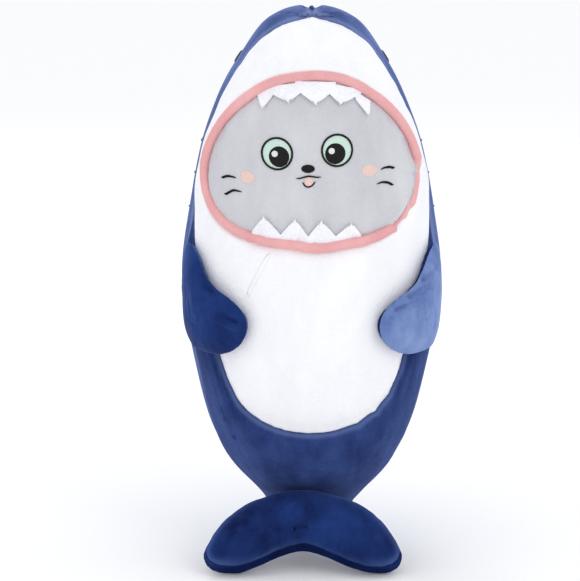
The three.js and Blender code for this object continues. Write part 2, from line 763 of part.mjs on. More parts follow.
// Dorsal fin, sewn along the centre seam of the back. Its outline is the distance out from the
// back and the height, as shares of the fin's reach and of the body's height.
function addDorsalFin() {
  const rootTop = 0.664;
  const rootBottom = 0.488;
  const root = range(5).map((i) => [0, mix(rootBottom, rootTop, i / 4)]);
  const edgeCurve = new THREE.CatmullRomCurve3(
    [
      [0, rootTop],
      [0.3, 0.648],
      [0.65, 0.6],
      [0.93, 0.535],
      [1, 0.5],
      [0.86, 0.492],
      [0.6, 0.503],
      [0.3, 0.502],
      [0, rootBottom],
    ].map(([out, height]) => new THREE.Vector3(out, height, 0)),
    false,
    "centripetal",
  );
  const edge = edgeCurve.getPoints(15).slice(1, -1).map((p) => [p.x, p.y]);
  const outline = [...root, ...edge];
  const place = (out, share, side) => {
    const back = skin(180, share * bodyHeight);
    return new THREE.Vector3(-side, back.y + rootGap + out * dorsalReach, back.z);
  };
  addFin("dorsal_fin", outline, [0.42, 0.56], dorsalHalfThickness, place, "#3d5590");
}

// Tail fluke, a crescent sewn across the front of the tail and folded forward to the floor.
// Its outline is across and down the fin, as shares of half its span and of its length.
const flukeStops = [
  [0, 0],
  [0.2, 0.02],
  [0.4, 0.08],
  [0.59, 0.165],
  [0.75, 0.295],
  [0.88, 0.47],
  [0.96, 0.63],
  [1, 0.75],
  [0.975, 0.88],
  [0.91, 0.97],
  [0.8, 1],
  [0.7, 0.99],
  [0.54, 0.935],
  [0.31, 0.8],
  [0.11, 0.715],
  [0, 0.7],
];

function addTailFluke() {
  const mirrorStops = flukeStops.slice(1, -1).toReversed().map(([across, down]) => [-across, down]);
  const outline = closedOutline([...flukeStops, ...mirrorStops], 34);
  const hingeHeight = 0.131 * bodyHeight;
  const hinge = skin(0, hingeHeight, flukeRootGap);
  const tilt = flukeTilt * degrees;
  const down = new THREE.Vector3(0, -Math.sin(tilt), -Math.cos(tilt));
  const out = new THREE.Vector3(0, -Math.cos(tilt), Math.sin(tilt));
  const shift = -9;
  const place = (across, along, side) =>
    new THREE.Vector3(shift + (across * flukeSpan) / 2, 0, 0)
      .add(hinge)
      .addScaledVector(down, along * flukeLength)
      .addScaledVector(out, side);
  addFin("tail_fluke", outline, [0, 0.38], flukeHalfThickness, place, "#1d3470");
}

addBodyFilling();
addBackPanels();
addBellyPanel();
addLowerFrontPanel();
addFacePanel();
addLipPiping();
addTeeth("upper", upperTeeth, true);
addTeeth("lower", lowerTeeth, false);
addCatFace();
addSideStitching();
addPectoralFins();
addDorsalFin();
addTailFluke();

// The origin goes under the middle of the finished toy.
const bounds = new THREE.Box3().setFromObject(shark);
const middle = bounds.getCenter(new THREE.Vector3());
shark.position.set(-middle.x, -middle.y, -bounds.min.z);

export default shark;
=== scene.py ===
import json
import math

import bmesh
import bpy
import numpy as np
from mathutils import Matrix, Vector, noise
from mathutils.bvhtree import BVHTree
from mathutils.kdtree import KDTree


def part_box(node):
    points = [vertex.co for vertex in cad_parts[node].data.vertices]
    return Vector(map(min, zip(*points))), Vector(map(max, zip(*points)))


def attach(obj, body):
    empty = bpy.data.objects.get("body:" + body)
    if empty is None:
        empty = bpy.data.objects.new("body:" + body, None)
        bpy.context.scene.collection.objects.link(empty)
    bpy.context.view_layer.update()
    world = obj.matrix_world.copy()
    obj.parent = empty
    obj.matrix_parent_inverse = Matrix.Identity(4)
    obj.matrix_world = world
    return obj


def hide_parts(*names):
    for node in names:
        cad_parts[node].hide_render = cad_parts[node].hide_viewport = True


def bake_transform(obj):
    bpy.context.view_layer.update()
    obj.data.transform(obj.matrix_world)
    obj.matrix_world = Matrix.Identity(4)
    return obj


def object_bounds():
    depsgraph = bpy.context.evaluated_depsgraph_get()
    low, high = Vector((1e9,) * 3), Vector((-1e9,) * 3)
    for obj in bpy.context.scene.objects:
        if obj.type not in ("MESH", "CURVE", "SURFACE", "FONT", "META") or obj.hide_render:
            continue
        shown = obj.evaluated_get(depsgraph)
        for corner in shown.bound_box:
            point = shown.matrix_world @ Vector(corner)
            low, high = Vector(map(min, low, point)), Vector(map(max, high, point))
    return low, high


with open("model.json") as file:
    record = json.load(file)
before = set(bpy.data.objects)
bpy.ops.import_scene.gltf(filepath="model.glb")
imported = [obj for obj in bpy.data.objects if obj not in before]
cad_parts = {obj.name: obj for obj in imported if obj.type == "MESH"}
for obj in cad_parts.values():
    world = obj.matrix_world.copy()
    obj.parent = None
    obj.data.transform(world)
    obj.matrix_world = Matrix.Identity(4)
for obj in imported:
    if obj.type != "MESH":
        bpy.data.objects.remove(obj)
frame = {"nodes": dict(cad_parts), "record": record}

cad_low, cad_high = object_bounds()
nodes = frame["nodes"]
scene = bpy.context.scene
MM = 0.001


# ---- Studio ----
# The toy sits on a pale floor in an even white room. A large soft lamp high on the right and a
# weaker one on the left shape it, and a long lamp behind brings out the edges of the pile.

aim = Vector((-0.0215, -0.042, 0.2663))
view_distance = 2.3
view_rise = math.radians(12)

camera_data = bpy.data.cameras.new("camera")
camera_data.lens = 143.04
camera_data.sensor_width = 36
camera_data.sensor_fit = "HORIZONTAL"
camera = bpy.data.objects.new("camera", camera_data)
scene.collection.objects.link(camera)
back_off = Vector((0, -math.cos(view_rise), math.sin(view_rise)))
camera.location = aim + view_distance * back_off
camera.rotation_euler = (-back_off).to_track_quat("-Z", "Y").to_euler()
scene.camera = camera
scene.view_settings.view_transform = "Standard"

world = bpy.data.worlds.new("white_room")
world.use_nodes = True
world.node_tree.nodes["Background"].inputs["Color"].default_value = (0.97, 0.98, 1.0, 1)
world.node_tree.nodes["Background"].inputs["Strength"].default_value = 1.0
scene.world = world


def soft_lamp(name, place, target, size, power):
    lamp_data = bpy.data.lights.new(name, "AREA")
    lamp_data.shape = "DISK"
    lamp_data.size = size
    lamp_data.energy = power
    lamp = bpy.data.objects.new(name, lamp_data)
    lamp.location = place
    lamp.rotation_euler = (Vector(target) - Vector(place)).to_track_quat("-Z", "Y").to_euler()
    scene.collection.objects.link(lamp)


soft_lamp("key_lamp", (1.5, -1.9, 1.9), aim, 1.2, 7)
soft_lamp("fill_lamp", (-1.8, -1.6, 1.0), aim, 1.5, 1.5)
soft_lamp("edge_lamp", (-0.6, 1.8, 1.9), aim, 1.4, 9)

bpy.ops.object.select_all(action="DESELECT")
bpy.ops.mesh.primitive_plane_add(size=40, location=(0, 0, 0))
floor = bpy.context.object
floor.name = "floor"


# ---- Finishes ----
# Every cloth, felt and thread gets its finish from the same small kit: a value that sums can be
# written with, and one way to add a node.

class Shade:
    """A value inside a finish. Sums and products of it add their own nodes."""

    def __init__(self, finish, socket):
        self.finish = finish
        self.socket = socket

    def work(self, operation, first, second):
        return self.finish.node("ShaderNodeMath", {"operation": operation}, {0: first, 1: second})

    def __add__(self, other):
        return self.work("ADD", self, other)

    def __sub__(self, other):
        return self.work("SUBTRACT", self, other)

    def __rsub__(self, other):
        return self.work("SUBTRACT", other, self)

    def __mul__(self, other):
        return self.work("MULTIPLY", self, other)

    __radd__ = __add__
    __rmul__ = __mul__


class Finish:
    """A material that is being made."""

    def __init__(self, name):
        self.material = bpy.data.materials.new(name)
        self.material.use_nodes = True
        self.tree = self.material.node_tree
        self.surface = self.tree.nodes["Principled BSDF"]

    def put(self, socket, value):
        if isinstance(value, Shade):
            self.tree.links.new(value.socket, socket)
        else:
            socket.default_value = value

    def node(self, kind, settings=None, inputs=None, output=0):
        made = self.tree.nodes.new(kind)
        for name, value in (settings or {}).items():
            if name == "stops":
                for stop, (place, shade) in zip(made.color_ramp.elements, value):
                    stop.position = place
                    stop.color = (shade, shade, shade, 1)
            else:
                setattr(made, name, value)
        for name, value in (inputs or {}).items():
            self.put(made.inputs[name], value)
        return Shade(self, made.outputs[output])

    def mix(self, factor, first, second):
        return self.node("ShaderNodeMix", {"data_type": "RGBA"}, {0: factor, 6: first, 7: second}, 2)

    def grain(self, place, scale, detail=2.0, stretch=(1, 1, 1)):
        stretched = self.node("ShaderNodeMapping", {}, {"Vector": place, "Scale": stretch})
        return self.node("ShaderNodeTexNoise", {}, {"Vector": stretched, "Scale": scale, "Detail": detail})

    def steps(self, value, low, high):
        return self.node("ShaderNodeValToRGB", {"stops": [(low, 0), (high, 1)]}, {"Fac": value})

    def relief(self, height, distance, strength, under=None):
        inputs = {"Height": height, "Distance": distance, "Strength": strength}
        if under is not None:
            inputs["Normal"] = under
        return self.node("ShaderNodeBump", {}, inputs)

    def finish(self, **values):
        for name, value in values.items():
            self.put(self.surface.inputs[name.replace("_", " ")], value)
        return self.material


def dye(code):
    """The colour of a hex code, as light."""
    parts = [int(code[i : i + 2], 16) / 255 for i in (1, 3, 5)]
    return tuple(p / 12.92 if p < 0.04045 else ((p + 0.055) / 1.055) ** 2.4 for p in parts) + (1,)


def plush_finish(name, deep, pale, edge, lift=0.5, sheen=0.5):
    """Short velvety pile, brushed in patches. A band beside each seam is lightened towards the edge colour:
    a painted highlight.
    """
    f = Finish(name)
    place = f.node("ShaderNodeTexCoord", output="Object")
    brushed = f.grain(place, 22, 3, (1, 1, 0.5))
    swept = f.grain(place, 70, 4, (1, 1, 0.35))
    pile = f.grain(place, 900, 2)
    tuft = f.grain(place, 260, 3)
    lay = f.steps(brushed * 0.6 + swept * 0.28 + tuft * 0.12, lift - 0.13, lift + 0.17)
    cloth = f.mix(lay, dye(deep), dye(pale))
    # Painted highlight: the band beside each seam is lightened towards the edge colour.
    seam = f.node("ShaderNodeAttribute", {"attribute_name": "seam"}, output="Fac")
    cloth = f.mix(seam * 0.4, cloth, dye(edge))
    cloth = f.mix(pile * 0.16, cloth, dye(deep))
    nap = f.relief(tuft, 0.0016, 0.35)
    velvet = f.relief(pile, 0.0009, 0.55, nap)
    return f.finish(
        Base_Color=cloth,
        Roughness=0.82 + pile * 0.14,
        Normal=velvet,
        Specular_IOR_Level=0.12,
        Sheen_Weight=sheen,
        Sheen_Roughness=0.42,
        Sheen_Tint=dye(edge),
    )


floor_finish = Finish("pale_floor")
floor.data.materials.append(floor_finish.finish(Base_Color=(0.985, 0.985, 0.985, 1), Roughness=0.9))


# ---- Body ----
# Five cloth panels are sewn edge to edge into one skin and stuffed until it is round. The seams
# stay short while the cloth between them swells, so they sink in and pucker a little.

body_panels = ["back_panel_left", "back_panel_right", "belly_panel", "lower_front_panel", "face_panel"]
panel_number = {name: i for i, name in enumerate(body_panels)}
cut_gap = 0.5 * MM
sliver = 0.8 * MM


def pick(*objects):
    bpy.ops.object.select_all(action="DESELECT")
    for item in objects:
        item.select_set(True)
    bpy.context.view_layer.objects.active = objects[0]


def places(item):
    found = np.empty(3 * len(item.data.vertices))
    item.data.vertices.foreach_get("co", found)
    return found.reshape(-1, 3)


def directions(item):
    found = np.empty(3 * len(item.data.vertices))
    item.data.vertices.foreach_get("normal", found)
    return found.reshape(-1, 3)


def put_places(item, points):
    item.data.vertices.foreach_set("co", np.asarray(points, dtype=np.float32).ravel())
    item.data.update()


def add_piece(name, bm):
    mesh = bpy.data.meshes.new(name)
    bm.to_mesh(mesh)
    bm.free()
    item = bpy.data.objects.new(name, mesh)
    scene.collection.objects.link(item)
    return item


def face_outward(item):
    """Turns a closed skin's faces round if they look inwards."""
    points = places(item)
    total = 0.0
    for face in item.data.polygons:
        a, *rest = (points[v] for v in face.vertices)
        total += sum(np.dot(a, np.cross(b, c)) for b, c in zip(rest, rest[1:]))
    if total < 0:
        item.data.flip_normals()


def apply_modifier(item, kind, **settings):
    modifier = item.modifiers.new(kind, kind)
    for name, value in settings.items():
        setattr(modifier, name, value)
    pick(item)
    bpy.ops.object.modifier_apply(modifier=modifier.name)


def smooth_skin(item, levels):
    """Rounds a skin, swelling its corners first so that it still passes through where they were."""
    goal = places(item)
    share = 0.75
    modifier = item.modifiers.new("rounding", "SUBSURF")
    modifier.levels = levels
    for _ in range(3):
        rounded = item.evaluated_get(bpy.context.evaluated_depsgraph_get()).data
        now = np.array([v.co for v in rounded.vertices[: len(goal)]])
        put_places(item, places(item) + share * (goal - now))
    pick(item)
    bpy.ops.object.modifier_apply(modifier=modifier.name)


def ease_seams(bm, rounds):
    """Evens out the lines in which the panels meet."""
    for _ in range(rounds):
        moves = {}
        for v in bm.verts:
            ends = [
                e.other_vert(v).co for e in v.link_edges if len({f.material_index for f in e.link_faces}) > 1
            ]
            if len(ends) == 2:
                moves[v] = (ends[0] + ends[1] + 2 * v.co) / 4
        for v, spot in moves.items():
            v.co = spot


def merged(node):
    bm = bmesh.new()
    bm.from_mesh(nodes[node].data)
    bmesh.ops.remove_doubles(bm, verts=bm.verts, dist=0.02 * MM)
    return bm


def sewn_skin(panels, filling):
    """The outward faces of cut panels, joined where the panels meet, each with its panel's number."""
    bm = bmesh.new()
    for number, panel in enumerate(panels):
        before = len(bm.faces)
        bm.from_mesh(nodes[panel].data)
        bm.faces.ensure_lookup_table()
        for face in bm.faces[before:]:
            face.material_index = number
    bmesh.ops.remove_doubles(bm, verts=bm.verts, dist=0.02 * MM)
    bm.normal_update()
    stuffing = BVHTree.FromBMesh(merged(filling))
    inside = []
    for face in bm.faces:
        centre = face.calc_center_median()
        out = (centre - stuffing.find_nearest(centre)[0]).normalized()
        if face.normal.dot(out) < 0.35:
            inside.append(face)
    bmesh.ops.delete(bm, geom=inside, context="FACES")
    bmesh.ops.remove_doubles(bm, verts=bm.verts, dist=cut_gap)
    bmesh.ops.dissolve_degenerate(bm, edges=bm.edges, dist=sliver)
    return bm


def close_lip(bm, outer, inner):
    """Sews two panels together under the piping, halfway across the room that is left for it."""
    rims = []
    for panel in (outer, inner):
        rim = {
            v
            for e in bm.edges
            if e.is_boundary and e.link_faces[0].material_index == panel
            for v in e.verts
            if v.co.y < cad_low.y * 0.4
        }
        rims.append(rim)
    middle = sum((v.co for v in rims[1]), Vector()) / len(rims[1])
    outer_rim, inner_rim = (
        sorted(rim, key=lambda v: math.atan2(v.co.z - middle.z, v.co.x - middle.x)) for rim in rims
    )
    count = len(inner_rim)

    def mismatch(step):
        return sum((outer_rim[(i + step) % count].co - inner_rim[i].co).length for i in range(count))

    turn = min(range(-4, 5), key=mismatch)
    outer_rim = [outer_rim[(i + turn) % count] for i in range(count)]
    seam = [bm.verts.new((a.co + b.co) / 2) for a, b in zip(outer_rim, inner_rim)]
    for i in range(count):
        k = (i + 1) % count
        bm.faces.new((outer_rim[i], outer_rim[k], seam[k], seam[i])).material_index = outer
        bm.faces.new((seam[i], seam[k], inner_rim[k], inner_rim[i])).material_index = inner
    return bm


def close_holes(bm):
    """Fills small round openings with a fan whose faces belong to the panels that they touch."""
    open_edges = [e for e in bm.edges if e.is_boundary]
    filled = bmesh.ops.holes_fill(bm, edges=open_edges, sides=0)["faces"]
    fan = bmesh.ops.poke(bm, faces=filled)["faces"]
    for face in fan:
        rim = next(e for e in face.edges if any(g not in fan for g in e.link_faces))
        face.material_index = next(g for g in rim.link_faces if g not in fan).material_index
    bmesh.ops.recalc_face_normals(bm, faces=bm.faces)


def seam_line(item):
    """A tree that finds the nearest place on the edges where two panels meet."""
    owners = {}
    for face in item.data.polygons:
        for edge in face.edge_keys:
            owners.setdefault(edge, set()).add(face.material_index)
    points = places(item)
    seam_edges = [edge for edge, panels in owners.items() if len(panels) > 1]
    spots = [points[a] * (1 - t) + points[b] * t for a, b in seam_edges for t in (0, 0.33, 0.67)]
    tree = KDTree(len(spots))
    for i, spot in enumerate(spots):
        tree.insert(spot, i)
    tree.balance()
    return tree


def near_seam(item, tree):
    """Each point's nearest place on a seam, and how far away it is."""
    found = [tree.find(p) for p in places(item)]
    return np.array([spot for spot, _, _ in found]), np.array([far for _, _, far in found])


def stuff(item, tree, pressure, gather, reach, travel, frames, sink=0.5 * MM):
    """Blows the skin up like stuffing does.

    gather is how much shorter the seams are sewn, reach is how far from them it is felt, and no
    point moves more than travel, or more than sink inwards.
    """
    rest = places(item)
    outward = directions(item)
    distance = near_seam(item, tree)[1]
    group = item.vertex_groups.new(name="gathered")
    for i, d in enumerate(distance):
        group.add([i], float(np.clip(1 - d / reach, 0, 1)), "REPLACE")
    cloth = item.modifiers.new("Cloth", "CLOTH")
    settings = cloth.settings
    settings.quality = 5
    settings.mass = 0.15
    settings.tension_stiffness = 20
    settings.compression_stiffness = 20
    settings.shear_stiffness = 8
    settings.bending_stiffness = 0.4
    settings.tension_damping = 15
    settings.use_pressure = True
    settings.uniform_pressure_force = pressure
    settings.vertex_group_shrink = "gathered"
    settings.shrink_max = gather
    settings.effector_weights.gravity = 0
    cloth.collision_settings.use_collision = False
    cloth.point_cache.frame_end = frames
    for number in range(1, frames + 1):
        scene.frame_set(number)
    pick(item)
    bpy.ops.object.modifier_apply(modifier=cloth.name)
    scene.frame_set(1)
    moved = places(item) - rest
    inward = np.minimum(np.einsum("ij,ij->i", moved, outward) + sink, 0) * (distance > 2 * reach / 3)
    moved -= outward * inward[:, None]
    length = np.linalg.norm(moved, axis=1, keepdims=True)
    put_places(item, rest + moved * np.minimum(1, travel / np.maximum(length, 1e-9)))
    item.vertex_groups.clear()


def sink_seams(item, tree, depth, width, pucker, pucker_size, pucker_reach):
    """Pulls the cloth in at its seams and gathers it crosswise to them, and stores the band beside them
    where the finish paints a highlight.
    """
    points = places(item)
    outward = directions(item)
    nearest, distance = near_seam(item, tree)
    valley = np.exp(-((distance / width) ** 2))
    wave = np.array([noise.noise(Vector(spot) / pucker_size) for spot in nearest])
    small = 0.45 * pucker_size
    fine = np.array([noise.noise(Vector(spot) / small + Vector((7, 1, 4))) for spot in nearest])
    shoulder = np.exp(-distance / pucker_reach) * (1 - 0.5 * valley)
    rise = -depth * valley * (1 + 0.5 * fine) + pucker * (wave + 0.5 * fine) * shoulder
    put_places(item, points + outward * rise[:, None])
    # The seam attribute holds the band where the finish paints a highlight beside each seam.
    seam_highlight_mark = item.data.attributes.new("seam", "FLOAT", "POINT")
    painted_highlight_band = np.exp(-((distance - 1.2 * width) / (0.9 * width)) ** 2)
    seam_highlight_mark.data.foreach_set("value", painted_highlight_band.astype(np.float32))


def soften(item, size, amount, seed=0):
    """Slow unevenness of the stuffing under the cloth."""
    points = places(item)
    shift = Vector((seed, 2 * seed, -seed))
    swell = np.array([noise.noise(Vector(p) / size + shift) for p in points])
    put_places(item, points + directions(item) * (amount * swell)[:, None])


belly_number = panel_number["belly_panel"]
face_number = panel_number["face_panel"]
skin = close_lip(sewn_skin(body_panels, "body_filling"), belly_number, face_number)
close_holes(skin)
bmesh.ops.join_triangles(
    skin, faces=skin.faces, cmp_materials=True, angle_face_threshold=1.2, angle_shape_threshold=1.8
)
ease_seams(skin, 3)
body_skin = add_piece("body_skin", skin)
face_outward(body_skin)
smooth_skin(body_skin, 2)
stuff(
    body_skin, seam_line(body_skin), pressure=3.0, gather=0.06, reach=12 * MM, travel=4 * MM, frames=14
)
apply_modifier(body_skin, "SMOOTH", factor=0.5, iterations=3)
apply_modifier(body_skin, "SUBSURF", levels=2, render_levels=2)
apply_modifier(body_skin, "SMOOTH", factor=0.5, iterations=12)
body_seams = seam_line(body_skin)
soften(body_skin, 70 * MM, 1.1 * MM, seed=3)
sink_seams(
    body_skin,
    body_seams,
    depth=1.3 * MM,
    width=2.6 * MM,
    pucker=0.4 * MM,
    pucker_size=14 * MM,
    pucker_reach=9 * MM,
)

# The stuffing is packed hardest low down, and the belly's seam sags under it.
points = places(body_skin)
low_middle = 0.115
low_reach = 0.055
low_fullness = 0.065
points[:, 0] *= 1 + low_fullness * np.exp(-(((points[:, 2] - low_middle) / low_reach) ** 2))
sag_middle = 0.15
sag_height = 0.05
sag_width = 0.1
sag = 6 * MM
sagging = np.exp(-(((points[:, 2] - sag_middle) / sag_height) ** 2)) * np.exp(
    -((points[:, 0] / sag_width) ** 2)
)
points[:, 2] -= sag * sagging * (points[:, 1] < 0)

# The flat end of the tail rests on the floor.
points[:, 2] = np.maximum(points[:, 2], 0.4 * MM)
put_places(body_skin, points)

# The points of the mouth seam, in order round the mouth.
owners = {}
for face in body_skin.data.polygons:
    for edge in face.edge_keys:
        owners.setdefault(edge, set()).add(face.material_index)
beside = {}
for (a, b), panels in owners.items():
    if panels == {belly_number, face_number}:
        beside.setdefault(a, []).append(b)
        beside.setdefault(b, []).append(a)
lip_order = [min(beside)]
while len(lip_order) < len(beside):
    lip_order.append(next(v for v in beside[lip_order[-1]] if v not in lip_order[-2:]))

# The lip lies in the middle of the piping, and draws the cloth beside it along.
tube = np.array([v.co for v in nodes["lip_piping"].data.vertices])
mouth = (tube.max(0) + tube.min(0)) / 2


def round_mouth(spots):
    """How far round the mouth each place is, and how far from its middle."""
    return np.arctan2(spots[:, 2] - mouth[2], spots[:, 0] - mouth[0]), np.hypot(
        spots[:, 0] - mouth[0], spots[:, 2] - mouth[2]
    )


tube_turn, tube_far = round_mouth(tube)
lip_turn, lip_far = round_mouth(points[lip_order])
turns = np.linspace(-math.pi, math.pi, 73)[:-1]
piping_far = []
for turn in turns:
    beside_turn = np.argsort(np.abs(np.angle(np.exp(1j * (tube_turn - turn)))))[:20]
    piping_far.append(tube_far[beside_turn].mean())
piping_far = np.array(piping_far)
for _ in range(8):
    piping_far = (np.roll(piping_far, 1) + 2 * piping_far + np.roll(piping_far, -1)) / 4
by_turn = np.argsort(lip_turn)
turn, far = round_mouth(points)
lip_there = np.interp(turn, lip_turn[by_turn], lip_far[by_turn], period=2 * math.pi)
pull = np.interp(turn, turns, piping_far, period=2 * math.pi) - lip_there
pull_reach = 16 * MM
pull *= np.exp(-(((far - lip_there) / pull_reach) ** 2)) * (points[:, 1] < 0)
points[:, 0] += pull * np.cos(turn)
points[:, 2] += pull * np.sin(turn)
put_places(body_skin, points)
outward = directions(body_skin)
lip_seam = points[lip_order]
lip_out = outward[lip_order]

# The surface that the embroidery, the teeth and the fins are laid on.
body_tree = BVHTree.FromPolygons(points.tolist(), [tuple(p.vertices) for p in body_skin.data.polygons])

# Each panel's deep and pale colour, and the colour of its painted seam highlight. The lower front panel's
# blue is a darker copy of the back panels' blue: painted shade.
plush_colours_and_painted_light = {
    "back_panel_left": ("#344a80", "#6578b0", "#8f9dc9"),
    "back_panel_right": ("#344a80", "#6578b0", "#8f9dc9"),
    "belly_panel": ("#f2f2f6", "#fbfbfd", "#ffffff"),
    "lower_front_panel": ("#12265a", "#394f8a", "#7485b6"),
    "face_panel": ("#c6c5cb", "#d6d5da", "#e2e1e6"),
}
for panel in body_panels:
    body_skin.data.materials.append(plush_finish("plush_" + panel, *plush_colours_and_painted_light[panel]))
pick(body_skin)
bpy.ops.object.shade_smooth()
bpy.ops.object.mode_set(mode="EDIT")
bpy.ops.mesh.separate(type="MATERIAL")
bpy.ops.object.mode_set(mode="OBJECT")
for item in list(bpy.context.selected_objects):
    used = item.data.materials[item.data.polygons[0].material_index]
    panel = used.name.removeprefix("plush_")
    item.name = panel.replace("_panel", "_cloth")
    item.data.materials.clear()
    item.data.materials.append(used)
    apply_modifier(item, "SOLIDIFY", thickness=1.6 * MM, offset=-1, use_rim=True)
    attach(item, "body")
    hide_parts(panel)


# ---- Stuffing ----
# Loose crimped polyester fibre, pushed in by hand until each cover is full. It is lumpy, and it
# lies just under the cloth.

def fibre_finish(name):
    f = Finish(name)
    place = f.node("ShaderNodeTexCoord", output="Object")
    clump = f.grain(place, 60, 4)
    strand = f.grain(place, 700, 3, (1, 1, 0.25))
    wool = f.mix(f.steps(clump, 0.3, 0.7), dye("#dcdcd6"), dye("#f4f4f0"))
    return f.finish(
        Base_Color=wool, Roughness=0.9 + strand * 0.08, Normal=f.relief(strand, 0.001, 0.6), Sheen_Weight=0.3
    )


fibre = fibre_finish("polyester_fibre")
fillings = {
    "body": "body_filling",
    "left_pectoral_fin": "pectoral_fin_left_filling",
    "right_pectoral_fin": "pectoral_fin_right_filling",
    "dorsal_fin": "dorsal_fin_filling",
    "tail_fluke": "tail_fluke_filling",
}
for body, filling in fillings.items():
    item = add_piece(filling.replace("filling", "stuffing"), merged(filling))
    apply_modifier(item, "SUBSURF", levels=2, render_levels=2, subdivision_type="SIMPLE")
    base = places(item)
    shrink = {"body": 1.0, "tail_fluke": 0.8}.get(body, 0.88)
    base = base.mean(0) + shrink * (base - base.mean(0))
    lumps = np.array([noise.noise(Vector(p) / (14 * MM)) for p in base])
    under = 4.0 * MM if body == "body" else 2.4 * MM
    put_places(item, base - directions(item) * (under + 0.8 * MM * (1 + lumps))[:, None])
    item.data.materials.append(fibre)
    pick(item)
    bpy.ops.object.shade_smooth()
    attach(item, body)
    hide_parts(filling)


# ---- Mouth piping ----
# A pink plush tube, stuffed softly and caught in the seam between the white belly and the gray
# face. It gathers a little on the way round.

piping_radius = 5.0 * MM
piping_lift = 3.8 * MM
piping_sides = 20


def even_loop(line, outs, step):
    """The same closed line with places an even step apart."""
    ring = np.vstack([line, line[:1]])
    ways = np.vstack([outs, outs[:1]])
    along = np.concatenate([[0], np.cumsum(np.linalg.norm(np.diff(ring, axis=0), axis=1))])
    count = int(along[-1] / step)
    at = np.arange(count) * along[-1] / count
    even = np.array([np.interp(at, along, ring[:, k]) for k in range(3)]).T
    way = np.array([np.interp(at, along, ways[:, k]) for k in range(3)]).T
    for _ in range(6):
        even = (np.roll(even, 1, 0) + 2 * even + np.roll(even, -1, 0)) / 4
        way = (np.roll(way, 1, 0) + 2 * way + np.roll(way, -1, 0)) / 4
    return even, way / np.linalg.norm(way, axis=1, keepdims=True)


centre_line, out_line = even_loop(lip_seam, lip_out, 1.6 * MM)
bm = bmesh.new()
rings = []
for i, centre in enumerate(centre_line):
    ahead = centre_line[(i + 1) % len(centre_line)] - centre_line[i - 1]
    ahead /= np.linalg.norm(ahead)
    out = out_line[i] - ahead * (out_line[i] @ ahead)
    out /= np.linalg.norm(out)
    side = np.cross(ahead, out)
    ring = []
    for k in range(piping_sides):
        turn = 2 * math.pi * k / piping_sides
        spot = centre + piping_lift * out
        way = math.cos(turn) * out + math.sin(turn) * side
        gather = noise.noise(Vector(centre) / (5.5 * MM) + Vector((0, 0, 0.35 * math.cos(turn))))
        slow = noise.noise(Vector(centre) / (28 * MM))
        radius = piping_radius * (1 + 0.05 * gather + 0.05 * slow)
        ring.append(bm.verts.new(spot + radius * way * (1 if math.cos(turn) > 0 else 0.92)))
    rings.append(ring)
for i, ring in enumerate(rings):
    ahead = rings[(i + 1) % len(rings)]
    for k in range(piping_sides):
        bm.faces.new((ring[k], ring[(k + 1) % piping_sides], ahead[(k + 1) % piping_sides], ahead[k]))
bmesh.ops.recalc_face_normals(bm, faces=bm.faces)
piping = add_piece("lip_piping_cloth", bm)
pick(piping)
bpy.ops.object.shade_smooth()
piping.data.materials.append(plush_finish("plush_pink", "#e2a2a3", "#f2bcbc", "#fad6d6", 0.5, 0.4))
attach(piping, "body")
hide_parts("lip_piping")


# ---- Felt teeth ----
# White felt triangles, cut with scissors. Their straight edges are caught in the seam under the
# piping, and their points stand a little off the face.

felt_thickness = 1.3 * MM
tooth_rows = 9
tooth_columns = 8
tuck_under = 3.2 * MM
tucked = 0.3
upper_spread = 0.2
lower_spread = 0.07


def felt_finish(name):
    f = Finish(name)
    place = f.node("ShaderNodeTexCoord", output="Object")
    matted = f.grain(place, 420, 4)
    cloud = f.grain(place, 90, 2)
    felt = f.mix(f.steps(matted * 0.6 + cloud * 0.4, 0.3, 0.7), dye("#e6e6ee"), dye("#fbfbff"))
    return f.finish(
        Base_Color=felt,
        Roughness=0.86 + matted * 0.1,
        Normal=f.relief(matted, 0.0007, 0.5),
        Specular_IOR_Level=0.15,
        Sheen_Weight=0.25,
    )


def on_front(x, z):
    """The place and the way out of the cloth that a point lies on, seen from straight ahead."""
    spot, out, _, _ = body_tree.ray_cast(Vector((x, -0.4, z)), Vector((0, 1, 0)))
    return np.array(spot), np.array(out if out.y < 0 else -out)


